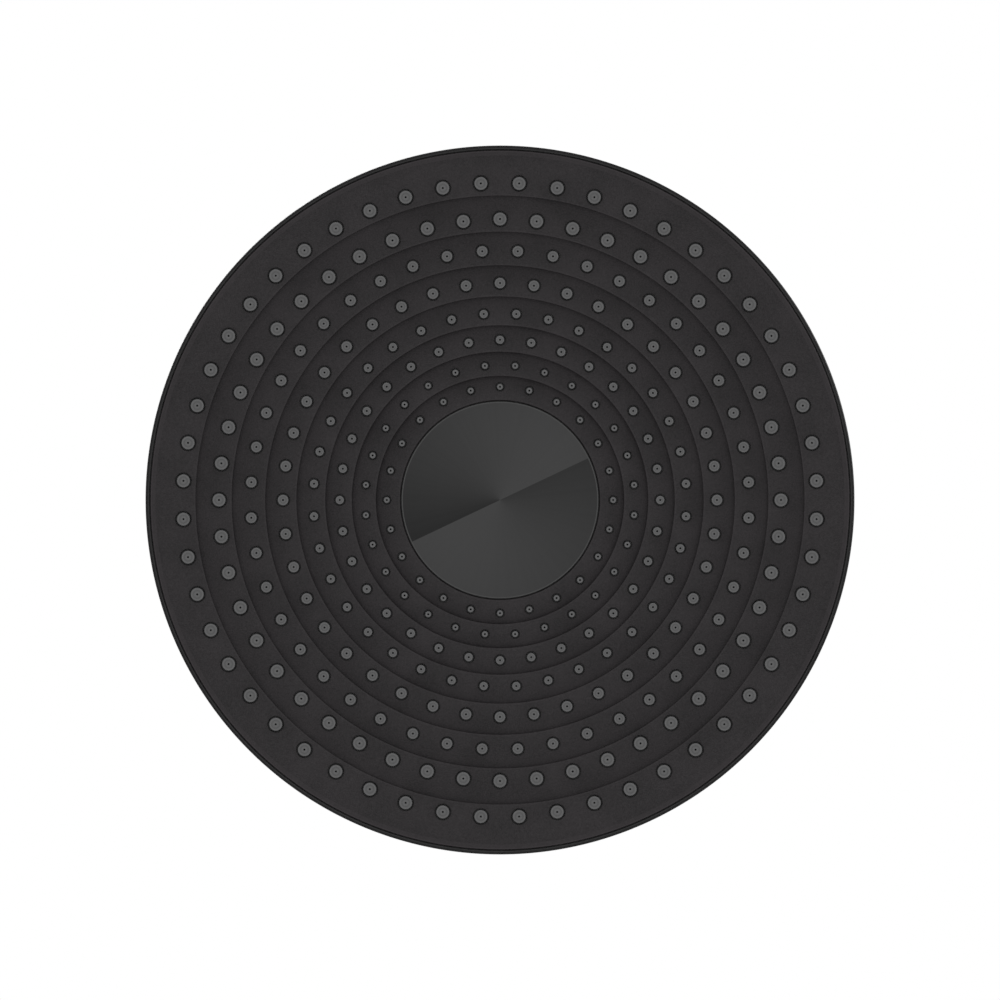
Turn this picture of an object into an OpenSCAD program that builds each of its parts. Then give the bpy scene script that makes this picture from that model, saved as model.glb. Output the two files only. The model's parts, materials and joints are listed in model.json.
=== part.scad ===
// Round overhead rain shower head on a ball joint.
// +Z points up towards the supply arm. The origin is the centre of the union nut's mouth, and the
// head hangs below it, so every height here is negative. The spray face looks down, along -Z.

/* [Spray head] */
// Outside diameter of the head
head_d = 300; // [290:5:320]
// Depth of the valley behind each ring's lip
relief = 1.3; // [0.8:0.1:2]
// Thickness of the spray face at the lips
face_t = 4; // [4:0.5:6]
// Height of the domed top above its own rim
dome_rise = 10.5; // [8:0.5:13]
// Wall thickness of the back shell
shell_t = 2.4; // [2:0.2:3]

/* [Nozzles] */
// Nozzles in the innermost ring
first_count = 24; // [16:4:24]
// Nozzles added by each further ring
count_step = 4; // [0:4:4]
// Tip diameter of the two innermost rings
tip_d = 2.5; // [2.2:0.1:2.8]
// Tip diameter added by each further pair of rings
tip_step = 1; // [0.5:0.1:1]
// Diameter of the water outlet in each tip
outlet_d = 0.8; // [0.7:0.1:1]
// How far the tips stand proud of the lips
tip_proud = 1.2; // [0.6:0.1:2]

/* [Ball joint] */
// Diameter of the ball
ball_d = 24; // [24:0.2:24.4]
// Diameter of the neck above the ball
neck_d = 12.4; // [11.8:0.2:12.6]
// Waterway through the ball
bore_d = 9; // [8:0.5:9]

/* [Inlet] */
// Inside diameter of the union nut's G1/2 thread
thread_d = 18.64; // [18.6:0.02:18.7]
// Length of the thread that the arm screws into
thread_len = 8.5; // [8:0.5:8.5]
// Grip flutes around the union nut
flutes = 24; // [16:4:32]

/* [Hidden] */
$fn = 96;
slack = 0.08;                        // radial clearance of a running or screwed fit
eps = 0.5;                           // how far a cutter runs past the face that it cuts

// Heights of the joint
ball_z = -33;                        // centre of the ball
ball_r = ball_d / 2;
neck_r = neck_d / 2;
stem_thread_r = neck_r - 0.5;        // the stem's lower end, screwed into the ball
stem_end = ball_z - 3;
ball_flat = ball_z + 10;             // spot face on the ball, where the neck's shoulder lands
film = 0.05;                         // clearance of the ball in its seats
ball_ring_d = 2.4;                   // it touches the ball on a cone 38 degrees under its equator
ball_ring_r = (ball_r + film + ball_ring_d / 2) * cos(38);
ball_ring_z = -(ball_r + film + ball_ring_d / 2) * sin(38);
washer_t = 2;
washer_z = -thread_len - washer_t;   // underside of the seal washer, where the stem's flange starts
screen_t = 0.6;                      // groove in the washer that holds the filter screen
screen_r = 7.4;
flange_t = 3.5;
lip_z = washer_z - flange_t;         // the flange hangs on the union nut's lip here
nut_z = lip_z - 2;                   // underside of the union nut
nut_r = 15;
flange_r = 9.1;
journal_r = 7.2;                     // the part of the stem that turns in the nut's lip
regulator_h = 4.2;
regulator_r = 5.7;
regulator_z = washer_z - regulator_h;
regulator_floor = 2.6;               // thickness of its perforated floor

// Heights of the head
hub_floor = ball_z - 11;             // the ball seat stands on it
flange_z = hub_floor - 2.5;          // underside of the hub's flange
gasket_t = 1;
dome_top = flange_z - gasket_t;      // the shell's flat pad
tower_z = dome_top - shell_t;        // top of the chamber plate's tower
face_z = -74;                        // plane of the spray face's lips
back_z = face_z + face_t;            // flat back of the spray face
mat_t = 1.5;
mat_z = back_z + mat_t;              // top of the nozzle mat
tip_z = face_z - tip_proud;          // lowest plane of the nozzles
outlet_len = 1.6;
funnel_len = 1.6;
roof_z = mat_z + 4;                  // the water chamber is 4 mm high
roof_t = 2.5;

// Radii of the head, in proportion to its diameter
head_r = head_d / 2;
k = head_d / 300;
lips = [for (r = [42.2, 52.4, 62.6, 73.8, 86, 99.2, 113.4, 128.7]) r * k];
rings = [for (r = [47.9, 57.1, 67.8, 79, 91.8, 105.5, 118.9, 134.2]) r * k];
lip_r = 0.25;                        // rounding of each ring's lip
rim_t = 1.6;                         // wall of the shell's rim
rim_gap = 0.5;                       // shadow gap between the rim and the spray face
face_r = head_r - rim_t - rim_gap;
edge_r = 0.3;                        // rounding of the spray face's outer edge
cap_r = lips[0] - 0.45;
cap_t = 0.9;
cap_proud = 0.2;                     // how far the cap stands below the lips
skirt_h = 0.6;                       // the cap's turned-in edge
skirt_t = 1;
recess = 2;                          // depth of the seat that the cap and its pad fill
mat_r = rings[7] + 4.8;
wall_r = rings[7] + 2.4;             // inner face of the water chamber's outer wall
seal_r = mat_r + 2;                  // centre line of the chamber seal
seal_d = 2;
boss_r = seal_r + 2;                 // the screw ring starts here
boss_end = face_r - 1.5;
boss_h = 3;
clear = 0.7;                         // gap between a nozzle's tip and its hole in the face
rim_screw_r = (boss_r + boss_end) / 2;
rim_screws = 16;
rim_screw_d = 2.4;
ledge_t = 3;                         // the chamber plate's ledge that the rim screws clamp
core_screw_r = 30 * k;
core_screws = 6;
core_screw_d = 3.1;
core_hole_r = 1.9;
sink = 1.5;                          // height of the countersunk heads
post_r = 4.5;                        // posts and bosses around the core screws
rib_t = 2;
ribs = 12;

// The dome is part of a large sphere, with the rounded shoulder tangent to it inside
pad_r = 26;                          // flat pad under the hub
shoulder_r = 6;
shoulder_x = head_r - shoulder_r;
sphere_r = (pow(head_r, 2) + pow(dome_rise, 2)) / (2 * dome_rise);
sphere_z = dome_top - sphere_r;
shoulder_z = sphere_z + sqrt(pow(sphere_r - shoulder_r, 2) - pow(shoulder_x, 2));
lean = asin(shoulder_x / (sphere_r - shoulder_r));
pad_lean = asin((pad_r + 3) / sphere_r);

// Hub and collar
thread_r = 16.5;                     // thread between the hub and the collar
pocket_r = 14.5;                     // pocket that the ball seat fits
hub_top = ball_z - 2;
hub_flange_r = 22;
spigot_r = 10.5;
spigot_bore = 7.5;
spigot_z = roof_z + roof_t + 2;
hub_ring_d = 1.9;
hub_ring_z = spigot_z + 3;
tower_r = 20;
collar_r = 20;
collar_z = flange_z + 3.7;           // underside of the collar
collar_top = ball_z + 10;
cup_r = ball_r + 1.6;                // spherical seat of the friction ring in the collar
mouth_r = 10.6;                      // opening for the neck
cup_top = sqrt(cup_r * cup_r - mouth_r * mouth_r);
flat_x = 18.6;                       // half the width across the collar's spanner flats
flat_h = 6.4;
crown_r = 7;                         // rounding of the collar's top

function count(i) = first_count + count_step * i;
function tip_r(i) = (tip_d + tip_step * floor(i / 2)) / 2;
function phase(i) = i % 2 == 0 ? 0 : 180 / count(i);

// Points of an arc, centre c, radius r, from angle a to angle b in n steps
function arc(c, r, a, b, n = 12) =
  [for (j = [0:n]) let (t = a + (b - a) * j / n) [c[0] + r * cos(t), c[1] + r * sin(t)]];

// Copies its children around the axis at radius r
module around(n, r = 0, start = 0) {
  for (j = [0:n - 1]) rotate([0, 0, start + 360 * j / n]) translate([r, 0, 0]) children();
}

module at_nozzles(i) {
  around(count(i), rings[i], phase(i)) children();
}

module ring(r_in, r_out, z, h) {
  translate([0, 0, z]) difference() {
    cylinder(r = r_out, h = h);
    translate([0, 0, -eps]) cylinder(r = r_in, h = h + 2 * eps);
  }
}

module torus(r, d, z) {
  translate([0, 0, z]) rotate_extrude() translate([r, 0]) circle(d = d, $fn = 48);
}

// Spherical shell about the ball's centre, between two heights measured from that centre
module zone(r_in, r_out, low, high) {
  translate([0, 0, ball_z]) intersection() {
    difference() {
      sphere(r = r_out);
      sphere(r = r_in);
    }
    translate([0, 0, low]) cylinder(r = r_out + eps, h = high - low);
  }
}

// ---- Inlet ----

module union_nut() {
  lip_bore = journal_r + slack;
  thread = thread_d / 2;
  washer_seat = thread + 1.3;
  flange_seat = flange_r + 0.5;
  low_round = 1.4;
  top_round = 1.2;
  flute_r = 1.3;
  flute_z = nut_z + 4;
  flute_end = -2.5;
  color("#1b1b1c") difference() {
    rotate_extrude() polygon(concat(
      [[lip_bore, nut_z]],
      arc([nut_r - low_round, nut_z + low_round], low_round, -90, 0, 5),
      arc([nut_r - top_round, -top_round], top_round, 0, 90, 5),
      [[thread, 0], [thread, -thread_len], [washer_seat, -thread_len], [washer_seat, washer_z]],
      [[flange_seat, washer_z], [flange_seat, lip_z], [lip_bore, lip_z]]
    ));
    around(flutes, nut_r + 0.9) translate([0, 0, flute_z]) cylinder(r = flute_r, h = flute_end - flute_z);
  }
}

module seal_washer() {
  bore = 6;
  top = washer_z + washer_t;
  groove_low = washer_z + (washer_t - screen_t) / 2;
  groove_top = groove_low + screen_t;
  color("#2a2a2a") rotate_extrude() polygon([
    [bore, washer_z], [flange_r, washer_z], [flange_r, top], [bore, top],
    [bore, groove_top], [screen_r, groove_top], [screen_r, groove_low], [bore, groove_low]
  ]);
}

// Perforated disc held in the washer's inner groove
module filter_screen() {
  pitch = 1.5;
  hole_r = 0.5;
  reach = 5.2;                       // the holes end here
  t = screen_t - 0.1;
  color("silver") difference() {
    translate([0, 0, washer_z + (washer_t - t) / 2]) cylinder(r = screen_r - 0.1, h = t);
    for (i = [-4:4], j = [-4:4])
      if (norm([i + j / 2, j * sin(60)]) * pitch < reach)
        translate([(i + j / 2) * pitch, j * sin(60) * pitch, washer_z])
          cylinder(r = hole_r, h = washer_t);
  }
}

module flow_regulator() {
  wall = 0.9;
  core_h = 1.9;                      // the cone that the O-ring squeezes onto as the pressure rises
  color("#7fb58c") difference() {
    union() {
      translate([0, 0, regulator_z]) cylinder(r = regulator_r, h = regulator_floor);
      ring(regulator_r - wall, regulator_r, regulator_z + 1, regulator_h - 1);
      translate([0, 0, regulator_z + regulator_floor - 0.4]) cylinder(r1 = 2.2, r2 = 1.6, h = core_h);
    }
    around(8, 3.4) translate([0, 0, regulator_z - eps]) cylinder(r = 0.8, h = regulator_h);
  }
}

module regulator_o_ring() {
  d = 1.5;
  color("#202020") torus(3.3, d, regulator_z + regulator_floor + d / 2 + 0.01);
}

// Flanged tube that the nut hangs on; its lower end screws into the ball
module ball_stem() {
  lead = 0.4;
  fit = 0.1;                         // around the flow regulator
  color("#1b1b1c") difference() {
    rotate_extrude() polygon([
      [bore_d / 2, stem_end], [stem_thread_r - lead, stem_end], [stem_thread_r, stem_end + lead],
      [stem_thread_r, ball_flat], [neck_r, ball_flat], [neck_r, nut_z - 2], [journal_r, nut_z - 1],
      [journal_r, lip_z], [flange_r, lip_z], [flange_r, washer_z], [bore_d / 2, washer_z]
    ]);
    translate([0, 0, regulator_z - fit]) cylinder(r = regulator_r + fit, h = regulator_h + fit + eps);
  }
}

// ---- Ball joint ----

module swivel_ball() {
  color("#b9babb") translate([0, 0, ball_z]) difference() {
    sphere(r = ball_r);
    translate([0, 0, ball_flat - ball_z]) cylinder(r = ball_r, h = ball_r);
    translate([0, 0, stem_end - ball_z - 0.1]) cylinder(r = stem_thread_r + slack, h = ball_r + 5);
    translate([0, 0, -ball_r - eps]) cylinder(d = bore_d, h = 2 * ball_r);
  }
}

module friction_ring() {
  low = 1.7;
  high = 6.8;
  color("#d9d7cf") zone(ball_r + film, cup_r - film, low, high);
}

module ball_seat() {
  depth = ball_z - hub_floor;
  color("#e4e1d8") translate([0, 0, ball_z]) difference() {
    translate([0, 0, -depth]) cylinder(r = pocket_r - slack, h = 8);
    sphere(r = ball_r + film);
    translate([0, 0, -depth - eps]) cylinder(r = 6.6, h = depth);
    rotate_extrude() translate([ball_ring_r, ball_ring_z]) circle(d = ball_ring_d + 2 * film, $fn = 48);
  }
}

module ball_o_ring() {
  color("#202020") torus(ball_ring_r, ball_ring_d, ball_z + ball_ring_z);
}

// Screwed down over the hub, it holds the ball, and a spanner fits its two flats
module retaining_collar() {
  low_round = 0.8;
  shelf = hub_top + 0.2;
  cut_h = flat_h + 2 * eps;
  color("#1b1b1c") difference() {
    rotate_extrude() polygon(concat(
      [[thread_r + slack, collar_z]],
      arc([collar_r - low_round, collar_z + low_round], low_round, -90, 0, 4),
      arc([collar_r - crown_r, collar_top - crown_r], crown_r, 0, 90),
      [[mouth_r + 1.2, collar_top], [mouth_r, ball_z + cup_top]],
      arc([0, ball_z], cup_r, asin(cup_top / cup_r), 0),
      [[cup_r, shelf], [thread_r + slack, shelf]]
    ));
    for (s = [-1, 1])
      translate([s * (flat_x + 5), 0, collar_z + (flat_h - 2 * eps) / 2])
        cube([10, 3 * collar_r, cut_h], center = true);
  }
}

// ---- Head ----

// Its spigot screws into the chamber plate's tower and clamps the shell between the two
module hub() {
  lead = 0.8;
  low_round = 0.6;
  top_round = 1.1;
  step_z = flange_z + 3.5;
  groove_h = 2.4;
  color("#1b1b1c") difference() {
    rotate_extrude() polygon(concat(
      [[spigot_bore, spigot_z], [spigot_r - lead, spigot_z], [spigot_r, spigot_z + lead]],
      [[spigot_r, flange_z]],
      arc([hub_flange_r - low_round, flange_z + low_round], low_round, -90, 0, 4),
      arc([hub_flange_r - top_round, step_z - top_round], top_round, 0, 90, 5),
      [[thread_r, step_z], [thread_r, hub_top - lead], [thread_r - lead, hub_top]],
      [[pocket_r, hub_top], [pocket_r, hub_floor], [spigot_bore, hub_floor]]
    ));
    ring(spigot_r - hub_ring_d, spigot_r + 1, hub_ring_z - groove_h / 2, groove_h);
  }
}

module hub_o_ring() {
  color("#202020") torus(spigot_r - hub_ring_d / 2, hub_ring_d, hub_ring_z);
}

module hub_gasket() {
  color("#202020") ring(spigot_r + 1.5, hub_flange_r - 1, dome_top, gasket_t);
}

// Domed cover with a rounded shoulder, and a rim around the spray face
module back_shell() {
  low = face_z + 0.4;
  in_r = head_r - rim_t;             // rebate that the spray face lies in
  wall = head_r - shell_t;
  hole = spigot_r + 0.3;
  rim_round = 0.7;
  chamfer = 0.25;
  join = 90 - lean - 8;              // the shoulder starts 8 degrees past the end of the dome
  color("#232223") rotate_extrude() polygon(concat(
    [[hole, dome_top], [pad_r, dome_top]],
    arc([0, sphere_z], sphere_r, 90 - pad_lean, 90 - lean, 14),
    arc([shoulder_x, shoulder_z], shoulder_r, join, 0, 9),
    arc([head_r - rim_round, low + rim_round], rim_round, 0, -90, 6),
    [[in_r + chamfer, low], [in_r, low + chamfer], [in_r, back_z], [wall, back_z]],
    arc([shoulder_x, shoulder_z], shoulder_r - shell_t, 0, join, 7),
    arc([0, sphere_z], sphere_r - shell_t, 90 - lean, 90 - pad_lean, 14),
    [[pad_r, dome_top - shell_t], [hole, dome_top - shell_t]]
  ));
}

// Roof of the water chamber, with the tower that the hub screws into
module chamber_plate() {
  roof_top = roof_z + roof_t;
  ledge_z = back_z + boss_h;
  ledge_top = ledge_z + ledge_t;
  bore = spigot_r + film;
  mat_fit = mat_r + 0.2;
  boss_fit = boss_r - 0.1;
  edge = boss_end + 0.6;
  seal_fit = seal_d / 2 + 0.1;
  tapped_depth = 9;
  color("#4a4d50") difference() {
    union() {
      rotate_extrude() polygon([
        [bore, roof_z], [wall_r, roof_z], [wall_r, mat_z], [mat_fit, mat_z], [mat_fit, back_z],
        [boss_fit, back_z], [boss_fit, ledge_z], [edge, ledge_z], [edge, ledge_top],
        [wall_r + 1, ledge_top], [wall_r - 1, roof_top], [tower_r + 2, roof_top],
        [tower_r, roof_top + 2], [tower_r, tower_z], [bore, tower_z]
      ]);
      // Ribs from the tower out to the wall
      around(ribs, 0, 15) rotate([90, 0, 0]) translate([0, 0, -rib_t / 2]) linear_extrude(rib_t) polygon([
        [tower_r - 1, roof_top - 1], [wall_r - 2, roof_top - 1], [wall_r - 6, roof_top + 1.5],
        [tower_r - 1, tower_z - 3]
      ]);
      // Posts and blind bosses of the core screws
      around(core_screws, core_screw_r) {
        translate([0, 0, mat_z]) cylinder(r = post_r, h = roof_z - mat_z + eps);
        translate([0, 0, roof_top - eps]) cylinder(r = post_r, h = 4 + eps);
      }
    }
    ring(seal_r - seal_fit, seal_r + seal_fit, back_z - eps, seal_d + 0.02 + eps);
    around(core_screws, core_screw_r)
      translate([0, 0, mat_z - eps]) cylinder(d = core_screw_d + 0.1, h = tapped_depth + eps);
    around(rim_screws, rim_screw_r)
      translate([0, 0, ledge_z - eps]) cylinder(d = rim_screw_d + 1, h = ledge_t + 2 * eps);
  }
}

module chamber_seal() {
  color("#202020") torus(seal_r, seal_d, back_z + seal_d / 2 + 0.01);
}

// One nozzle's outside, from its tip up into the mat
module nozzle_body(r) {
  draft = 0.2;
  translate([0, 0, tip_z]) cylinder(r1 = r, r2 = r + draft, h = back_z - tip_z + draft);
}

// Its waterway: a narrow outlet, a funnel and a wide bore
module nozzle_waterway(r) {
  wide = r * 0.62;
  translate([0, 0, tip_z - eps]) cylinder(d = outlet_d, h = outlet_len + 2 * eps);
  translate([0, 0, tip_z + outlet_len]) cylinder(r1 = outlet_d / 2, r2 = wide, h = funnel_len);
  translate([0, 0, tip_z + outlet_len + funnel_len])
    cylinder(r = wide, h = mat_z - tip_z - outlet_len - funnel_len + eps);
}

module nozzle_mat() {
  color("#5c5e60") difference() {
    union() {
      translate([0, 0, back_z]) cylinder(r = mat_r, h = mat_t);
      for (i = [0:len(rings) - 1]) at_nozzles(i) nozzle_body(tip_r(i));
    }
    for (i = [0:len(rings) - 1]) at_nozzles(i) nozzle_waterway(tip_r(i));
    around(core_screws, core_screw_r)
      translate([0, 0, back_z - eps]) cylinder(r = core_hole_r, h = mat_t + 2 * eps);
  }
}

// Underside of one ring: its rounded lip, then a fall that steepens to a valley at the next lip
function roll(r, r_end, n = 4) = concat(
  arc([r + lip_r, face_z + lip_r], lip_r, 180, 270, 3),
  [for (j = [1:n]) let (u = j / n) [r + lip_r + (r_end - r - lip_r) * u, face_z + relief * u * u]]);

module spray_face() {
  last = len(lips) - 1;
  color("#302e2f") difference() {
    union() {
      rotate_extrude() polygon(concat(
        [[0, back_z], [0, face_z + recess], [lips[0], face_z + recess]],
        [for (i = [0:last - 1]) each roll(lips[i], lips[i + 1])],
        arc([lips[last] + lip_r, face_z + lip_r], lip_r, 180, 270, 3),
        arc([face_r - edge_r, face_z + edge_r], edge_r, -90, 0, 4),
        [[face_r, back_z]]
      ));
      ring(boss_r, boss_end, back_z - eps, boss_h + eps);
    }
    for (i = [0:last]) at_nozzles(i)
      translate([0, 0, face_z - eps]) cylinder(r = tip_r(i) + clear, h = face_t + 2 * eps);
    around(rim_screws, rim_screw_r)
      translate([0, 0, face_z + sink]) cylinder(d = rim_screw_d + 0.1, h = face_t + boss_h);
    around(core_screws, core_screw_r) translate([0, 0, face_z + recess - eps]) {
      cylinder(r = core_hole_r, h = face_t);
      cylinder(r1 = core_hole_r + sink + eps, r2 = core_hole_r, h = sink + eps);
    }
  }
}

// Two crossed slots of a screw's drive, centred on height z
module cross(len, t, depth, z) {
  for (a = [0, 90]) rotate([0, 0, a]) translate([0, 0, z]) cube([len, t, depth], center = true);
}

// Pan-head screws that hold the chamber plate down on the spray face
module rim_screws() {
  head_z = back_z + boss_h + ledge_t;
  head_h = 1.8;
  shank = 8;
  color("#9a9da0") around(rim_screws, rim_screw_r) difference() {
    union() {
      translate([0, 0, head_z]) cylinder(r1 = 2.5, r2 = 2.1, h = head_h);
      translate([0, 0, head_z - shank]) cylinder(d = rim_screw_d, h = shank + eps);
    }
    cross(3, 0.7, 1.6, head_z + head_h - 0.2);
  }
}

// Countersunk screws under the centre cap, up into the chamber plate's posts
module core_screws() {
  head_z = face_z + recess;
  shank = 11;
  neck = core_screw_d / 2;
  color("#9a9da0") around(core_screws, core_screw_r) difference() {
    union() {
      translate([0, 0, head_z]) cylinder(r1 = neck + sink + 0.2, r2 = neck, h = sink);
      translate([0, 0, head_z + 1]) cylinder(r = neck, h = shank - 1);
    }
    cross(4, 0.8, 1.6, head_z);
  }
}

// Foam disc that fixes the cap over the core screws
module cap_pad() {
  pad_t = recess + cap_proud - cap_t;
  color("#151515") translate([0, 0, face_z + recess - pad_t]) cylinder(r = cap_r - 2, h = pad_t);
}

// Spun disc with a turned edge, standing a little proud of the lips
module centre_cap() {
  low = face_z - cap_proud;
  inside = low + cap_t;
  top = inside + skirt_h;
  bevel = 0.4;
  color("#424242") rotate_extrude() polygon([
    [0, low], [cap_r - bevel, low], [cap_r, low + bevel], [cap_r, top],
    [cap_r - skirt_t, top], [cap_r - skirt_t, inside], [0, inside]
  ]);
}

union_nut();
seal_washer();
filter_screen();
flow_regulator();
regulator_o_ring();
ball_stem();
swivel_ball();
friction_ring();
ball_seat();
ball_o_ring();
retaining_collar();
hub();
hub_o_ring();
hub_gasket();
back_shell();
chamber_plate();
chamber_seal();
nozzle_mat();
spray_face();
rim_screws();
core_screws();
cap_pad();
centre_cap();
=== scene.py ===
"""Looks for a round overhead rain shower head, seen from below. Lengths are in metres."""
import json
import math

import bmesh
import bpy
import mathutils
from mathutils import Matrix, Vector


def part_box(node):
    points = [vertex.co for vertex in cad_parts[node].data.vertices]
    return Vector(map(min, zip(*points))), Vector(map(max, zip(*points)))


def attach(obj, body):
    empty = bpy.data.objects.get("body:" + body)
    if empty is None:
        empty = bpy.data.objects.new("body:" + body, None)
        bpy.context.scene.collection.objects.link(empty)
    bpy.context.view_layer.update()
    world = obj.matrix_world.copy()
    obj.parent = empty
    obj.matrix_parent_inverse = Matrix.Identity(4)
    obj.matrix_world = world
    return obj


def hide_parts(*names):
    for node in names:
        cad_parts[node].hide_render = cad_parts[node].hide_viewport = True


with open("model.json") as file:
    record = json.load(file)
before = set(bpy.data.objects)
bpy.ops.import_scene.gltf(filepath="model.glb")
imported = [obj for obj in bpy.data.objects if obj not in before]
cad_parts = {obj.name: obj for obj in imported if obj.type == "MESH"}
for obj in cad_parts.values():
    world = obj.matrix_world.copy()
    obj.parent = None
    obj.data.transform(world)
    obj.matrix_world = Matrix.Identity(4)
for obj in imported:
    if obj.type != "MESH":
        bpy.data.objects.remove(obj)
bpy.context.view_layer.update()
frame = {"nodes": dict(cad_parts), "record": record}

MM = 0.001
TAU = 2 * math.pi

# ---- Places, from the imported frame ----
plate_low, plate_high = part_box("spray_face")
shell_low, shell_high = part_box("back_shell")
cap_low, cap_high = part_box("centre_cap")
mat_low, mat_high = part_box("nozzle_mat")
nut_low, nut_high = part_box("union_nut")
collar_low, collar_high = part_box("retaining_collar")
hub_low, hub_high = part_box("hub")
gasket_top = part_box("hub_gasket")[1].z

HEAD_R = shell_high.x
PLATE_R = plate_high.x
PLATE_T = 4 * MM
LIP_Z = plate_low.z                  # plane of the lips on the spray face
PLATE_BACK = LIP_Z + PLATE_T
MAT_TOP = mat_high.z
TIP_Z = mat_low.z
CAP_R = cap_high.x
CAP_Z = cap_low.z
BALL_Z = collar_high.z - 10 * MM     # centre of the ball

# ---- Rings of the spray face ----
RELIEF = 1.3 * MM                    # depth of the valley at each ring's outer end
ROLL = 2                             # how the ring falls away from its lip, as a power
LIPS = [r * MM for r in (42.2, 52.4, 62.6, 73.8, 86, 99.2, 113.4, 128.7)]
RINGS = [r * MM for r in (47.9, 57.1, 67.8, 79, 91.8, 105.5, 118.9, 134.2)]
COUNTS = [24 + 4 * i for i in range(8)]  # nozzles in each ring
TIPS = [(1.25 + 0.5 * (i // 2)) * MM for i in range(8)]  # radii of the nozzles' tips
OUTLET = 0.4 * MM                    # radius of the water outlet in each tip
LIP_ROUND = 0.25 * MM
EDGE_ROUND = 0.3 * MM
EASE = 0.2 * MM                      # small edge breaks
CLEAR = 0.7 * MM                     # gap between a nozzle and its hole in the face
HOLE_EDGE = 0.12 * MM
RECESS = 2 * MM                      # depth of the centre cap's seat
CORE_SCREWS = (6, 30 * MM, 1.9 * MM)  # count, ring radius and hole radius
CORE_R = 15 * MM                     # the sheets have no holes inside this radius
SCREW_RING = (143 * MM, 146.4 * MM, 3 * MM)  # inner and outer radius, height on the plate's back
PATCH = 6                            # points along one side of the patch around a hole
WELD = 2e-6                          # vertices closer than this become one
HAIR = 0.01 * MM                     # half the height of a step that should look sharp


def arc(x, z, r, start, end, steps):
    """Points of an arc in the (radius, z) plane, with angles in degrees."""
    angles = [math.radians(start + (end - start) * i / steps) for i in range(steps + 1)]
    return [(x + r * math.cos(a), z + r * math.sin(a)) for a in angles]


def polar(r, angle, z):
    return (r * math.cos(angle), r * math.sin(angle), z)


# ---- Mesh building ----
class Skin:
    """Collects vertices and faces, and welds what coincides when it becomes a piece."""

    def __init__(self):
        self.points = []
        self.faces = []

    def row(self, points):
        start = len(self.points)
        self.points.extend(points)
        return list(range(start, len(self.points)))

    def strip(self, a, b, closed=True):
        """Quads between two rows of one length."""
        n = len(a)
        for i in range(n if closed else n - 1):
            j = (i + 1) % n
            self.faces.append((a[i], a[j], b[j], b[i]))

    def strips(self, rows, closed=True):
        for a, b in zip(rows, rows[1:]):
            self.strip(a, b, closed)

    def fan(self, row, centre):
        tip = self.row([centre])[0]
        for i, v in enumerate(row):
            self.faces.append((v, row[(i + 1) % len(row)], tip))

    def bridge(self, a, b):
        """Triangles between two closed rows around Z, which may differ in length."""
        def by_angle(row):
            found = [(math.atan2(self.points[v][1], self.points[v][0]) % TAU, v) for v in row]
            found.sort()
            return found + [(found[0][0] + TAU, found[0][1])]

        a, b = by_angle(a), by_angle(b)
        i = j = 0
        while i < len(a) - 1 or j < len(b) - 1:
            first = j == len(b) - 1 or (i < len(a) - 1 and a[i + 1][0] <= b[j + 1][0])
            step = a[i + 1][1] if first else b[j + 1][1]
            self.faces.append((a[i][1], b[j][1], step))
            i, j = (i + 1, j) if first else (i, j + 1)

    def piece(self, name, body, slot, material, nodes, sharp=35):
        """The finished mesh object. Edges that turn by more than sharp degrees stay crisp."""
        mesh = bpy.data.meshes.new(name)
        mesh.from_pydata(self.points, [], self.faces)
        work = bmesh.new()
        work.from_mesh(mesh)
        bmesh.ops.remove_doubles(work, verts=work.verts, dist=WELD)
        bmesh.ops.recalc_face_normals(work, faces=work.faces)
        work.to_mesh(mesh)
        work.free()
        mesh.polygons.foreach_set("use_smooth", [True] * len(mesh.polygons))
        mesh.set_sharp_from_angle(angle=math.radians(sharp))
        mesh.materials.append(material)
        made = bpy.data.objects.new(name, mesh)
        bpy.context.scene.collection.objects.link(made)
        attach(made, body)
        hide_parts(*nodes)


def circle(r, z, count):
    return [polar(r, TAU * i / count, z) for i in range(count)]


def lathe(outline, steps, place=polar):
    """A skin turned from a closed (radius, z) outline. place(r, angle, z) gives each point."""
    skin = Skin()
    rows = [skin.row([place(r, TAU * i / steps, z) for i in range(steps)]) for r, z in outline]
    skin.strips(rows + rows[:1])
    return skin


def disc(outline, steps):
    """A skin turned from an outline that starts and ends on the axis."""
    skin = Skin()
    rows = [skin.row(circle(r, z, steps)) for r, z in outline[1:-1]]
    skin.strips(rows)
    skin.fan(rows[0], (0, 0, outline[0][1]))
    skin.fan(rows[-1], (0, 0, outline[-1][1]))
    return skin


# ---- Perforated sheets: the spray face and the nozzle mat ----
SIDE = [2 * i / PATCH - 1 for i in range(PATCH)]  # places along a patch's side, from -1 to 1


def centres(count, i):
    """Angles of the holes in ring i; every other ring is turned by half a step."""
    return [TAU * (j + (i % 2) / 2) / count for j in range(count)]


def ring_row(skin, r, z, count, i):
    """A row around Z whose points meet the borders of the patches in ring i."""
    half = math.pi / count
    return skin.row([polar(r, a + s * half, z) for a in centres(count, i) for s in SIDE])


def patch_border(count, inner, outer):
    """(radius, angle) of the patch's border, around from its inner corner."""
    half = math.pi / count
    span = (outer - inner) / 2
    middle = (outer + inner) / 2
    return ([(inner, s * half) for s in SIDE] + [(middle + s * span, half) for s in SIDE]
            + [(outer, -s * half) for s in SIDE] + [(middle - s * span, -half) for s in SIDE])


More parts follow.
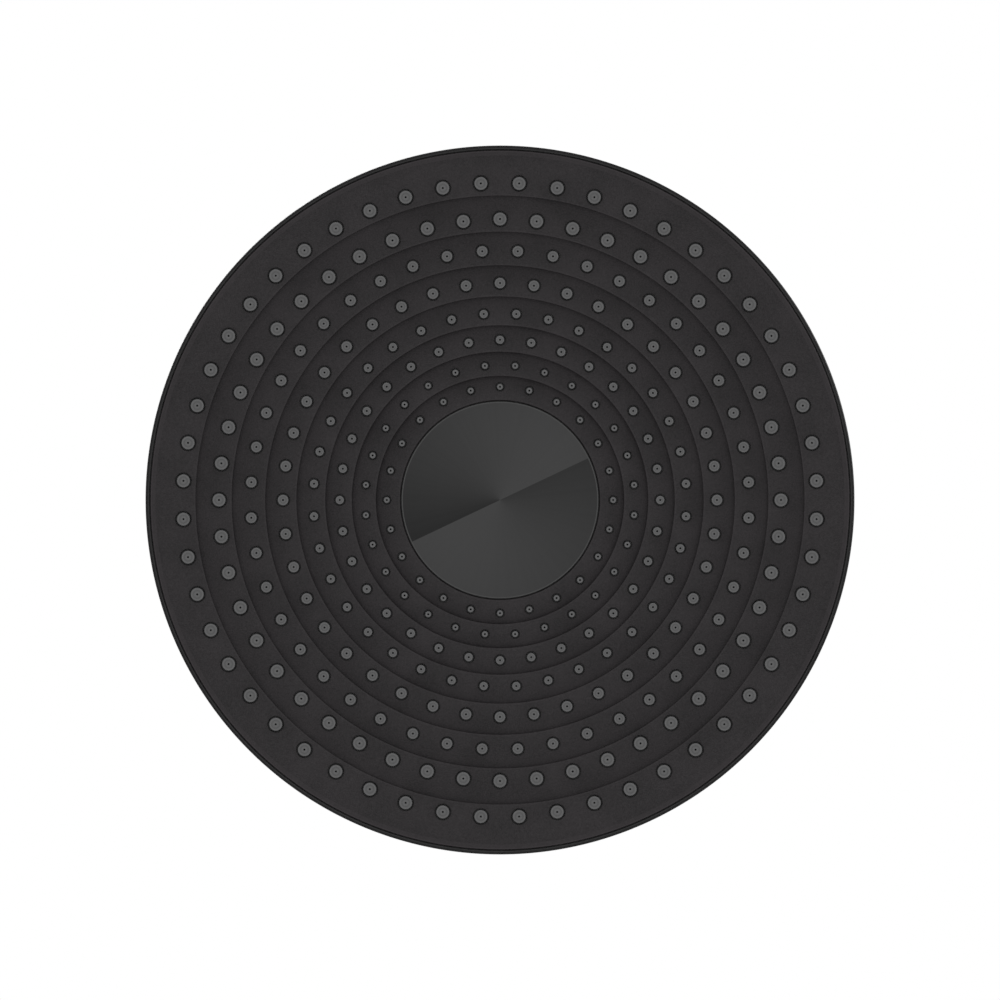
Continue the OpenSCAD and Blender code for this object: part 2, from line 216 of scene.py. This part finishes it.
def perforate(skin, count, i, ring, inner, outer, front, back, hole, spread):
    """One ring of patches. front(r) and back(r) are the two surfaces, hole is the (radius, z) outline
    from the front round to the back, where z may be a function of r, and spread is how the front's
    rows lie between the hole and the border."""
    border = patch_border(count, inner, outer)
    first_corner = math.radians(225)
    turns = [first_corner - TAU * k / len(border) for k in range(len(border))]
    for middle in centres(count, i):
        c, s = math.cos(middle), math.sin(middle)

        def circle_at(radius, height):
            points = []
            for t in turns:
                x, y = ring + radius * math.cos(t), radius * math.sin(t)
                r = math.hypot(x, y)
                z = height(r) if callable(height) else height
                points.append((x * c - y * s, x * s + y * c, z))
            return points

        edge = [polar(r, middle + a, 0) for r, a in border]
        inside = circle_at(hole[0][0], 0)
        rows = []
        for share in spread:
            mixed = [(p[0] + (q[0] - p[0]) * share, p[1] + (q[1] - p[1]) * share)
                     for p, q in zip(inside, edge)]
            rows.append(skin.row([(x, y, front(math.hypot(x, y))) for x, y in mixed]))
        rows += [skin.row(circle_at(radius, height)) for radius, height in hole]
        rows.append(skin.row([(x, y, back(math.hypot(x, y))) for x, y, _ in edge]))
        skin.strips(rows)


def level(z):
    return lambda r: z


def roll(i):
    """Height of ring i's underside at radius r: flat at its lip, falling to a valley at the next lip."""
    start = LIPS[i] + LIP_ROUND
    if i == len(LIPS) - 1:
        return level(LIP_Z)
    span = LIPS[i + 1] - start
    return lambda r: LIP_Z + RELIEF * max(0.0, (r - start) / span) ** ROLL


def spray_face(material):
    """The perforated face plate: the cap's seat, eight stepped rings, and the screw ring behind."""
    skin = Skin()
    back = level(PLATE_BACK)
    last = len(RINGS) - 1
    margin = 0.5 * MM                # between the last patches and the screw ring
    ends = LIPS[1:] + [SCREW_RING[0] - margin]
    # The seat of the centre cap, with its countersunk screw holes
    count, ring, hole_r = CORE_SCREWS
    seat_z = LIP_Z + RECESS
    sink = 1.4 * MM
    hole = [(hole_r + sink, seat_z), (hole_r, seat_z + sink), (hole_r, PLATE_BACK)]
    perforate(skin, count, 0, ring, CORE_R, LIPS[0], level(seat_z), back, hole, (1, 0.5, 0))
    for z in (seat_z, PLATE_BACK):
        skin.fan(ring_row(skin, CORE_R, z, count, 0), (0, 0, z))
    foot = ring_row(skin, LIPS[0], seat_z, count, 0)
    behind = ring_row(skin, LIPS[0], PLATE_BACK, count, 0)
    for i, (count, ring, tip) in enumerate(zip(COUNTS, RINGS, TIPS)):
        front = roll(i)
        start, end = LIPS[i] + LIP_ROUND, ends[i]
        hole_r = tip + CLEAR
        hole = [(hole_r + HOLE_EDGE, front),
                (hole_r, lambda r, f=front: f(r) + HOLE_EDGE),
                (hole_r, PLATE_BACK)]
        perforate(skin, count, i, ring, start, end, front, back, hole, (1, 0.75, 0.5, 0.28, 0.1))
        # The lip's rounding, and the riser down to the ring inside it
        lip = [ring_row(skin, r, z, count, i)
               for r, z in arc(start, LIP_Z + LIP_ROUND, LIP_ROUND, 180, 270, 4)]
        skin.strips(lip)
        skin.bridge(foot, lip[0])
        skin.bridge(behind, ring_row(skin, start, PLATE_BACK, count, i))
        foot = ring_row(skin, end, front(end), count, i)
        behind = ring_row(skin, end, PLATE_BACK, count, i)
    # The outer edge and the screw ring on the back
    inner, outer, height = SCREW_RING
    rim = ([(ends[-1], LIP_Z)]
           + arc(PLATE_R - EDGE_ROUND, LIP_Z + EDGE_ROUND, EDGE_ROUND, -90, 0, 5)
           + [(PLATE_R, PLATE_BACK - EASE), (PLATE_R - EASE, PLATE_BACK), (outer, PLATE_BACK),
              (outer, PLATE_BACK + height), (inner, PLATE_BACK + height), (inner, PLATE_BACK),
              (ends[-1], PLATE_BACK)])
    skin.strips([ring_row(skin, r, z, COUNTS[last], last) for r, z in rim])
    skin.piece("spray_face_visual", "head", "face_black", material, ["spray_face"])


def nozzle_outline(tip):
    """(radius, z) from the mat's underside round the soft tip and up its waterway. The tip ends in a
    rounded crest and a low crest around its outlet, with a shallow ring groove between them."""
    root = tip + 0.25 * MM           # the nozzle tapers from here
    bore = tip * 0.62
    crest = tip - 0.4 * MM
    inner = OUTLET + 0.3 * (crest - OUTLET)
    groove = min(0.17 * MM, 0.22 * (crest - inner))
    outlet_end, funnel_end = TIP_Z + 1.6 * MM, TIP_Z + 3.2 * MM
    return [
        (root, PLATE_BACK),
        (tip + 0.02 * MM, TIP_Z + 0.16 * MM),
        (tip - 0.1 * MM, TIP_Z + 0.02 * MM),
        (crest, TIP_Z),
        ((crest + inner) / 2, TIP_Z + groove),
        (inner, TIP_Z + 0.04 * MM),
        (OUTLET + 0.03 * MM, TIP_Z + 0.05 * MM),
        (OUTLET, TIP_Z + 0.1 * MM),
        (OUTLET, outlet_end),
        (bore, funnel_end),
        (bore, MAT_TOP),
    ]


def nozzle_mat(material):
    """The silicone mat behind the face, with all its nozzles."""
    skin = Skin()
    low, high = level(PLATE_BACK), level(MAT_TOP)
    patched, edge = RINGS[-1] + 4.3 * MM, RINGS[-1] + 4.8 * MM
    ends = LIPS[1:] + [patched]
    count, ring, hole_r = CORE_SCREWS
    hole = [(hole_r, PLATE_BACK), (hole_r, MAT_TOP)]
    perforate(skin, count, 0, ring, CORE_R, LIPS[0], low, high, hole, (1,))
    for z in (PLATE_BACK, MAT_TOP):
        skin.fan(ring_row(skin, CORE_R, z, count, 0), (0, 0, z))
    before = [ring_row(skin, LIPS[0], z, count, 0) for z in (PLATE_BACK, MAT_TOP)]
    for i, (count, ring, tip) in enumerate(zip(COUNTS, RINGS, TIPS)):
        start = LIPS[i] + LIP_ROUND
        perforate(skin, count, i, ring, start, ends[i], low, high, nozzle_outline(tip), (1,))
        for row, z in zip(before, (PLATE_BACK, MAT_TOP)):
            skin.bridge(row, ring_row(skin, start, z, count, i))
        before = [ring_row(skin, ends[i], z, count, i) for z in (PLATE_BACK, MAT_TOP)]
    rim = [(patched, PLATE_BACK), (edge, PLATE_BACK), (edge, MAT_TOP), (patched, MAT_TOP)]
    skin.strips([ring_row(skin, r, z, COUNTS[-1], len(RINGS) - 1) for r, z in rim])
    skin.piece("nozzle_mat_visual", "head", "silicone", material, ["nozzle_mat"], sharp=50)


# ---- Turned pieces ----
def centre_cap(material):
    """Spun disc: a faintly dished face inside a narrow turned land and a bevel."""
    land, bevel, ease = 0.55 * MM, 0.25 * MM, 0.1 * MM
    top, skirt_h, skirt_t = cap_high.z, 0.6 * MM, 1 * MM
    dish = CAP_Z + 0.02 * MM
    outline = [(0, dish), (CAP_R * 0.5, dish), (CAP_R - land - ease, dish), (CAP_R - land, CAP_Z),
               (CAP_R - bevel, CAP_Z), (CAP_R - 0.07 * MM, CAP_Z + ease), (CAP_R, CAP_Z + bevel),
               (CAP_R, top - ease), (CAP_R - ease, top), (CAP_R - skirt_t, top),
               (CAP_R - skirt_t, top - skirt_h), (0, top - skirt_h)]
    skin = disc(outline, 360)
    skin.piece("centre_cap_visual", "head", "cap_metal", material, ["centre_cap"], sharp=20)


def back_shell(material):
    """Large shallow dome, a rounded shoulder and the rim that frames the spray face."""
    low, top = shell_low.z, shell_high.z
    rise, shoulder, wall, rim = 10.5 * MM, 6 * MM, 2.4 * MM, 1.6 * MM
    edge, ease = 1.1 * MM, 0.1 * MM
    pad, hole = 26 * MM, 10.8 * MM   # the flat under the hub, and the hole for its spigot
    # The dome is a sphere's cap, and the shoulder's arc touches it from inside
    sphere = (HEAD_R ** 2 + rise ** 2) / (2 * rise)
    centre = top - sphere
    x = HEAD_R - shoulder
    z = centre + math.sqrt((sphere - shoulder) ** 2 - x ** 2)
    lean = math.degrees(math.asin(x / (sphere - shoulder)))
    dome_start = 90 - math.degrees(math.asin((pad + 3 * MM) / sphere))
    dome_end = 90 - lean
    bend_start = dome_end - 6        # degrees into the shoulder's arc
    outline = ([(hole, top), (pad - 0.5 * MM, top), (pad, top - 0.03 * MM)]
               + arc(0, centre, sphere, dome_start, dome_end, 36)
               + arc(x, z, shoulder, bend_start, 0, 16)
               + arc(HEAD_R - edge, low + edge, edge, 0, -90, 8)
               + [(HEAD_R - rim + ease, low), (HEAD_R - rim, low + ease), (HEAD_R - rim, PLATE_BACK),
                  (HEAD_R - wall, PLATE_BACK)]
               + arc(x, z, shoulder - wall, 0, bend_start, 10)
               + arc(0, centre, sphere - wall, dome_end, dome_start, 24)
               + [(pad, top - wall), (hole, top - wall)])
    skin = lathe(outline, 360)
    skin.piece("back_shell_visual", "head", "shell_black", material, ["back_shell"], sharp=30)


def hub(material):
    """Flanged fitting under the collar, with its spigot down into the chamber plate."""
    r, low, top = hub_high.x, hub_low.z, hub_high.z
    flange = gasket_top
    step = flange + 3.5 * MM
    seat = top - 9 * MM              # the ball seat stands here
    thread, pocket, spigot, bore = 16.5 * MM, 14.5 * MM, 10.5 * MM, 7.5 * MM
    lead, under, over = 0.8 * MM, 0.6 * MM, 1.1 * MM  # the spigot's bevel, the flange's two roundings
    outline = ([(bore, low), (spigot - lead, low), (spigot, low + lead), (spigot, flange)]
               + arc(r - under, flange + under, under, -90, 0, 4)
               + arc(r - over, step - over, over, 0, 90, 6)
               + [(thread, step), (thread, top - under), (thread - under, top),
                  (pocket, top), (pocket, seat), (bore, seat)])
    skin = lathe(outline, 192)
    skin.piece("hub_visual", "head", "black_metal", material, ["hub"], sharp=30)


def retaining_collar(material):
    """Screwed cap of the ball joint, with a pair of spanner flats."""
    r, top, low = collar_high.y, collar_high.z, collar_low.z
    cup, mouth, thread = 13.6 * MM, 10.6 * MM, 16.58 * MM
    flat, flat_high = 18.6 * MM, low + 6.4 * MM
    foot, crown = 0.8 * MM, 7 * MM   # roundings at the bottom and the top
    rise = math.sqrt(cup ** 2 - mouth ** 2)
    seat = hub_high.z + 0.2 * MM
    outline = ([(thread, low), (r - foot, low)]
               + arc(r - foot, low + foot, foot, -90, 0, 4)
               + [(r, flat_high - HAIR), (r, flat_high + HAIR)]
               + arc(r - crown, top - crown, crown, 0, 84, 14)
               + [(mouth + 1.7 * MM, top), (mouth + 1.2 * MM, top - 0.15 * MM), (mouth, BALL_Z + rise)]
               + arc(0, BALL_Z, cup, math.degrees(math.asin(rise / cup)), 0, 10)
               + [(cup, seat), (thread, seat)])

    def cut(radius, angle, z):
        """Stops a point of the lower part at the spanner flats."""
        x, y, z = polar(radius, angle, z)
        if z < flat_high:
            x = max(-flat, min(flat, x))
        return (x, y, z)

    skin = lathe(outline, 360, cut)
    skin.piece("retaining_collar_visual", "head", "black_metal", material, ["retaining_collar"], sharp=30)


def union_nut(material):
    """Swivel nut: grip flutes outside, a rounded pipe thread inside, and the lip that carries the stem."""
    r, low = nut_high.x, nut_low.z
    minor, depth, pitch = 9.32 * MM, 1.16 * MM, 1.814 * MM
    top, bottom, fade = -0.6 * MM, -8.5 * MM, 0.9 * MM  # the thread's ends, and its run-out
    relief_r, relief_end = 10.62 * MM, -10.5 * MM  # room for the seal washer
    flange_r, lip, lip_bore = 9.6 * MM, -14 * MM, 7.28 * MM  # room for the stem's flange
    foot, crown, bevel = 1.4 * MM, 1.2 * MM, 0.2 * MM
    flutes, flute_r, flute_x = 24, 1.3 * MM, r + 0.9 * MM
    flute_low, flute_high = low + 4 * MM, -2.5 * MM
    steps = 336                      # points around the nut
    turn_rows = 12                   # rows of the thread's grid per turn

    def fluted(radius, angle, z):
        """Moves a point of the outside in to the nearest flute's wall."""
        off = (angle + math.pi / flutes) % (TAU / flutes) - math.pi / flutes
        reach = flute_r ** 2 - (flute_x * math.sin(off)) ** 2
        if flute_low <= z <= flute_high and reach > 0:
            radius = min(radius, flute_x * math.cos(off) - math.sqrt(reach))
        return polar(radius, angle, z)

    outside = ([(lip_bore, lip), (lip_bore, low + bevel), (lip_bore + bevel, low), (r - foot, low)]
               + arc(r - foot, low + foot, foot, -90, 0, 6)
               + [(r, flute_low - HAIR), (r, flute_low), (r, flute_high), (r, flute_high + HAIR)]
               + arc(r - crown, -crown, crown, 0, 90, 6)
               + [(minor + 0.7 * MM, 0), (minor, top)])
    inside = [(minor, bottom), (relief_r, bottom), (relief_r, relief_end),
              (flange_r, relief_end), (flange_r, lip), (lip_bore, lip)]
    skin = Skin()
    angles = [TAU * i / steps for i in range(steps)]
    for outline in (outside, inside):
        skin.strips([skin.row([fluted(a, t, z) for t in angles]) for a, z in outline])
    # The thread is a grid whose rows climb one pitch per turn and stop level at both ends
    rows = math.ceil((top - bottom) / pitch) * turn_rows + turn_rows
    grid = []
    for k in range(rows + 1):
        cut = depth * (0.5 - 0.5 * math.cos(TAU * k / turn_rows))
        row = []
        for i in range(steps + 1):
            z = min(top, max(bottom, top + pitch * (i / steps - k / turn_rows)))
            share = max(0.0, min(1.0, (top - z) / fade, (z - bottom) / fade))
            row.append(polar(minor + cut * share, TAU * i / steps, z))
        grid.append(skin.row(row))
    skin.strips(grid, closed=False)
    skin.piece("union_nut_visual", "nut", "black_metal", material, ["union_nut"], sharp=32)


# ---- Materials ----
class Paint:
    """A node material in the object's own space, with small helpers for its patterns."""

    def __init__(self, name, colour, roughness, metallic=0.0, specular=0.5):
        self.material = bpy.data.materials.new(name)
        self.material.use_nodes = True
        self.tree = self.material.node_tree
        self.shader = self.tree.nodes["Principled BSDF"]
        self.shader.inputs["Base Color"].default_value = (*colour, 1)
        self.shader.inputs["Roughness"].default_value = roughness
        self.shader.inputs["Metallic"].default_value = metallic
        self.shader.inputs["Specular IOR Level"].default_value = specular
        self.place = self.node("ShaderNodeTexCoord").outputs["Object"]
        self.bumps = None

    def node(self, kind, inputs=None, **settings):
        made = self.tree.nodes.new(kind)
        for key, value in settings.items():
            setattr(made, key, value)
        for key, value in (inputs or {}).items():
            if isinstance(value, bpy.types.NodeSocket):
                self.tree.links.new(value, made.inputs[key])
            else:
                made.inputs[key].default_value = value
        return made

    def radius(self):
        """Distance from the Z axis."""
        split = self.node("ShaderNodeSeparateXYZ", {"Vector": self.place})
        x, y = split.outputs["X"], split.outputs["Y"]
        return self.math("SQRT", self.math("MULTIPLY_ADD", x, x, self.math("MULTIPLY", y, y)))

    def math(self, operation, a, b=0.0, c=0.0):
        return self.node("ShaderNodeMath", {0: a, 1: b, 2: c}, operation=operation).outputs[0]

    def noise(self, size, detail=2.0, at=None):
        """Noise from about 0.3 to 0.7, with features of the given size."""
        return self.node("ShaderNodeTexNoise", {
            "Vector": at or self.place, "Scale": 1 / size, "Detail": detail}).outputs["Fac"]

    def range(self, value, low, high, start=0.3, end=0.7):
        """Turns start to end, which are a noise's usual limits, into low to high."""
        return self.node("ShaderNodeMapRange", {
            "Value": value, "From Min": start, "From Max": end,
            "To Min": low, "To Max": high}).outputs["Result"]

    def mottle(self, grain):
        """Fine noise, and a value from 0 to 1 in which broad faint mottling joins it."""
        fine, broad = self.noise(grain, 3), self.noise(18 * MM, 4)
        share = self.math("MULTIPLY_ADD", fine, 0.7, self.math("MULTIPLY", broad, 0.3))
        return fine, self.range(share, 0, 1, 0.35, 0.65)

    def tone(self, share, base, other):
        """A colour between two, by a value from 0 to 1. base may be another node's output."""
        mix = self.node("ShaderNodeMix", {"Factor": share}, data_type="RGBA")
        if isinstance(base, bpy.types.NodeSocket):
            self.tree.links.new(base, mix.inputs["A"])
        else:
            mix.inputs["A"].default_value = (*base, 1)
        mix.inputs["B"].default_value = (*other, 1)
        return mix.outputs["Result"]

    def colour(self, socket):
        self.tree.links.new(socket, self.shader.inputs["Base Color"])

    def rough(self, socket):
        self.tree.links.new(socket, self.shader.inputs["Roughness"])

    def bump(self, height, distance):
        settings = {"Height": height, "Distance": distance, "Strength": 1.0}
        if self.bumps:
            settings["Normal"] = self.bumps
        self.bumps = self.node("ShaderNodeBump", settings).outputs["Normal"]
        self.tree.links.new(self.bumps, self.shader.inputs["Normal"])


def scaled(colour, factor):
    return tuple(c * factor for c in colour)


def grained(name, colour, roughness, specular=0.5, fleck=0.12, grain=0.45 * MM, depth=0.012 * MM):
    """A moulded or coated surface: fine grain, faint mottling and uneven gloss."""
    paint = Paint(name, colour, roughness, specular=specular)
    fine, share = paint.mottle(grain)
    paint.colour(paint.tone(share, scaled(colour, 1 - fleck), scaled(colour, 1 + fleck)))
    paint.rough(paint.range(paint.noise(grain * 2.5, 3), roughness - 0.05, roughness + 0.05))
    paint.bump(fine, depth)
    return paint.material


def spray_black():
    """The face's coating: fine grain, with painted highlights that make the lips and the outer edge a
    little brighter.
    """
    colour, fleck = (0.0214, 0.0183, 0.0199), 0.58
    paint = Paint("face_black", colour, 0.5, specular=0.25)
    fine, share = paint.mottle(0.42 * MM)
    coat = paint.tone(share, scaled(colour, 1 - fleck), scaled(colour, 1 + fleck))
    # Each band of painted highlight has a middle radius, a reach to both sides and a strength
    bands = [(lip + 0.45 * MM, 0.3 * MM, 0.22) for lip in LIPS]
    bands.append((PLATE_R - 1.05 * MM, 1.05 * MM, 0.4))
    bands.append((PLATE_R - 0.3 * MM, 0.25 * MM, 0.8))
    radius = paint.radius()
    painted_highlight = 0.0
    for middle, reach, strength in bands:
        here = paint.math("COMPARE", radius, middle, reach)
        painted_highlight = paint.math("MULTIPLY_ADD", here, strength, painted_highlight)
    # The painted highlights lift the coat towards twice its colour at the lips and the outer edge
    paint.colour(paint.tone(painted_highlight, coat, scaled(colour, 2)))
    paint.rough(paint.range(paint.noise(1.1 * MM, 3), 0.45, 0.55))
    paint.bump(fine, 0.014 * MM)
    return paint.material


def silicone():
    """Soft grey tips: a fine bloom, palest on the crests and, as painted shade, darker towards the bottom
    of the grooves.
    """
    crest, groove, groove_depth = (0.154, 0.154, 0.155), (0.107, 0.107, 0.108), 0.15 * MM
    paint = Paint("silicone", crest, 0.55, specular=0.3)
    height = paint.node("ShaderNodeSeparateXYZ", {"Vector": paint.place}).outputs["Z"]
    fine = paint.noise(0.45 * MM, 3)
    # Painted shade: the colour darkens with height above the tips' plane into the grooves, and stays at
    # the darker grey higher up
    depth = paint.range(height, 0, 1, TIP_Z, TIP_Z + groove_depth)
    share = paint.math("ADD", depth, paint.range(fine, -0.1, 0.1))
    paint.colour(paint.tone(share, crest, groove))
    paint.rough(paint.range(paint.noise(1.1 * MM, 3), 0.5, 0.6))
    paint.bump(fine, 0.006 * MM)
    return paint.material


def cap_metal():
    """Dark spun metal: concentric turning marks, and two painted reflections, sheens painted into its
    colour. Each painted sheen starts bright at the same diameter and darkens around half a turn, the
    second less than the first."""
    bright, dark, land = (0.0588, 0.0588, 0.059), (0.0, 0.0, 0.0), (0.074, 0.074, 0.074)
    start, bend = math.radians(25.4), 1.7
    first_depth, second_change = 0.6, -0.16
    ray_scale = 14.0
    paint = Paint("cap_metal", bright, 0.52, metallic=0.9)
    split = paint.node("ShaderNodeSeparateXYZ", {"Vector": paint.place})
    x, y = split.outputs["X"], split.outputs["Y"]
    # The painted sheens: the colour is set by the angle around the axis and darkens over each half turn
    angle = paint.math("ARCTAN2", paint.math("MULTIPLY", y, -1.0), x)
    turned = paint.math("DIVIDE", paint.math("SUBTRACT", angle, start), math.pi)
    half_turns = paint.math("ADD", turned, 2.0)
    second = paint.math("GREATER_THAN", paint.math("FRACT", paint.math("MULTIPLY", half_turns, 0.5)), 0.5)
    depth = paint.math("MULTIPLY_ADD", second, second_change, first_depth)
    painted_sheen = paint.math("MULTIPLY", paint.math("POWER", paint.math("FRACT", half_turns), bend), depth)
    # Faint rays from the middle, and the marks of the turning tool around it
    around = paint.node("ShaderNodeCombineXYZ", {"X": paint.math("MULTIPLY", angle, ray_scale)})
    rays = paint.noise(1.0, 3, around.outputs[0])
    radius = paint.radius()
    outward = paint.node("ShaderNodeCombineXYZ", {"X": radius})
    marks = paint.noise(0.12 * MM, 2, outward.outputs[0])
    streak = paint.math("ADD", paint.range(marks, -0.03, 0.03), paint.range(rays, -0.025, 0.025))
    face = paint.tone(paint.math("ADD", streak, painted_sheen), bright, dark)
    on_land = paint.range(radius, 0, 1, CAP_R - 0.65 * MM, CAP_R - 0.55 * MM)
    paint.colour(paint.tone(on_land, face, land))
    paint.rough(paint.range(marks, 0.48, 0.56))
    paint.bump(marks, 0.004 * MM)
    return paint.material


def turned_metal(name, colour, roughness):
    """Bare turned metal with fine lathe marks around Z."""
    paint = Paint(name, colour, roughness, metallic=1.0)
    stretch = (0.02, 0.02, 1)
    stretched = paint.node("ShaderNodeMapping", {"Vector": paint.place, "Scale": stretch})
    marks = paint.noise(0.15 * MM, 2, stretched.outputs[0])
    paint.colour(paint.tone(paint.range(marks, 0, 1), scaled(colour, 0.9), scaled(colour, 1.06)))
    paint.rough(paint.range(paint.noise(2 * MM, 3), roughness - 0.05, roughness + 0.06))
    paint.bump(marks, 0.003 * MM)
    return paint.material


def screen_mesh():
    """Woven stainless wire."""
    paint = Paint("screen_steel", (0.5, 0.5, 0.5), 0.35, metallic=1.0)
    wires = {"Vector": paint.place, "Scale": 1 / (2.5 * MM)}
    along = paint.node("ShaderNodeTexWave", wires, bands_direction="X")
    across = paint.node("ShaderNodeTexWave", wires, bands_direction="Y")
    both = paint.math("MULTIPLY", along.outputs["Fac"], across.outputs["Fac"])
    paint.colour(paint.tone(both, (0.2, 0.2, 0.2), (0.6, 0.6, 0.6)))
    paint.bump(both, 0.02 * MM)
    return paint.material


MATERIALS = {
    "black_metal": grained("black_metal", (0.016, 0.0155, 0.0158), 0.36,
                           fleck=0.25, grain=0.4 * MM, depth=0.006 * MM),
    "shell_black": grained("shell_black", (0.011, 0.0105, 0.0108), 0.45,
                           specular=0.3, fleck=0.35, grain=0.6 * MM, depth=0.02 * MM),
    "face_black": spray_black(),
    "cap_metal": cap_metal(),
    "silicone": silicone(),
    "inner_grey": grained("inner_grey", (0.07, 0.073, 0.077), 0.5),
    "ball_chrome": turned_metal("ball_chrome", (0.62, 0.62, 0.63), 0.2),
    "liner_white": grained("liner_white", (0.75, 0.73, 0.68), 0.4, fleck=0.03),
    "seal_rubber": grained("seal_rubber", (0.018, 0.018, 0.018), 0.6, fleck=0.2),
    "screen_steel": screen_mesh(),
    "regulator_green": grained("regulator_green", (0.16, 0.36, 0.22), 0.42, fleck=0.05),
    "screw_steel": turned_metal("screw_steel", (0.55, 0.55, 0.56), 0.3),
    "foam_black": grained("foam_black", (0.015, 0.015, 0.015), 0.9,
                          fleck=0.3, grain=0.25 * MM, depth=0.05 * MM),
}

spray_face(MATERIALS["face_black"])
nozzle_mat(MATERIALS["silicone"])
centre_cap(MATERIALS["cap_metal"])
back_shell(MATERIALS["shell_black"])
hub(MATERIALS["black_metal"])
retaining_collar(MATERIALS["black_metal"])
union_nut(MATERIALS["black_metal"])

slots = {row["node"]: row["material_slot"] for row in frame["record"]["subparts"]}
for node, piece in frame["nodes"].items():
    piece.data.materials.clear()
    piece.data.materials.append(MATERIALS[slots[node]])


# ---- Studio ----
def area_light(name, place, size, power):
    """A round soft lamp, aimed at the middle of the head."""
    target = (0, 0, -0.05)
    lamp = bpy.data.lights.new(name, "AREA")
    lamp.shape = "DISK"
    lamp.size = size
    lamp.energy = power
    made = bpy.data.objects.new(name, lamp)
    made.location = place
    aim = [t - p for t, p in zip(target, place)]
    made.rotation_mode = "QUATERNION"
    made.rotation_quaternion = mathutils.Vector(aim).to_track_quat("-Z", "Y")
    made.visible_camera = False
    bpy.context.scene.collection.objects.link(made)


def floor():
    """A plain pale floor, well below the head. It is only seen: the lamp under it shines past it."""
    size, z = 30.0, -0.9
    corners = [(-size, -size, z), (size, -size, z), (size, size, z), (-size, size, z)]
    mesh = bpy.data.meshes.new("floor")
    mesh.from_pydata(corners, [], [(0, 1, 2, 3)])
    mesh.materials.append(grained("floor_paint", (0.8, 0.8, 0.79), 0.7,
                                  fleck=0.01, grain=6 * MM, depth=0.05 * MM))
    made = bpy.data.objects.new("floor", mesh)
    made.visible_diffuse = False
    made.visible_glossy = False
    made.visible_shadow = False
    bpy.context.scene.collection.objects.link(made)


def studio_world():
    """White to the camera. To the object, soft light that is bright all around below it and above it,
    and dark level with it."""
    # Height from straight down (0) to straight up (1), and the brightness there
    stops = [(0.0, 0.3), (0.1, 0.3), (0.22, 0.62), (0.34, 0.8), (0.42, 0.6),
             (0.5, 0.08), (0.6, 0.15), (0.8, 0.6), (1.0, 0.9)]
    world = bpy.data.worlds.new("studio")
    bpy.context.scene.world = world
    world.use_nodes = True
    tree = world.node_tree
    tree.nodes.clear()
    add = tree.nodes.new
    link = tree.links.new
    place = add("ShaderNodeTexCoord")
    split = add("ShaderNodeSeparateXYZ")
    link(place.outputs["Generated"], split.inputs[0])
    ramp = add("ShaderNodeValToRGB")
    ramp.color_ramp.elements[0].position = 0
    ramp.color_ramp.elements[1].position = 1
    for position, _ in stops[1:-1]:
        ramp.color_ramp.elements.new(position)
    for element, (_, value) in zip(ramp.color_ramp.elements, stops):
        element.color = (value, value, value, 1)
    height = add("ShaderNodeMapRange")
    height.inputs["From Min"].default_value = -1
    link(split.outputs["Z"], height.inputs["Value"])
    link(height.outputs["Result"], ramp.inputs["Fac"])
    soft, white = add("ShaderNodeBackground"), add("ShaderNodeBackground")
    link(ramp.outputs["Color"], soft.inputs["Color"])
    path, mix, out = add("ShaderNodeLightPath"), add("ShaderNodeMixShader"), add("ShaderNodeOutputWorld")
    link(path.outputs["Is Camera Ray"], mix.inputs["Fac"])
    link(soft.outputs[0], mix.inputs[1])
    link(white.outputs[0], mix.inputs[2])
    white.inputs["Color"].default_value = (1, 1, 1, 1)
    link(mix.outputs[0], out.inputs["Surface"])


studio_world()
floor()
area_light("under_light", place=(0, 0.03, -1.5), size=0.9, power=4.55)
area_light("key_light", place=(-0.9, -0.9, 1.3), size=1.2, power=30)
area_light("side_light", place=(1.6, -0.6, 0.4), size=1.0, power=12)

# The camera looks straight up at the spray face
camera = bpy.data.objects.new("camera", bpy.data.cameras.new("camera"))
camera.data.type = "ORTHO"
camera.data.ortho_scale = 0.42313    # width of the view, at which the head fills seven tenths of it
camera.location = (0, 0, -0.6)
camera.rotation_euler = (math.pi, 0, 0)
bpy.context.scene.collection.objects.link(camera)
bpy.context.scene.camera = camera
bpy.context.scene.view_settings.view_transform = "Standard"
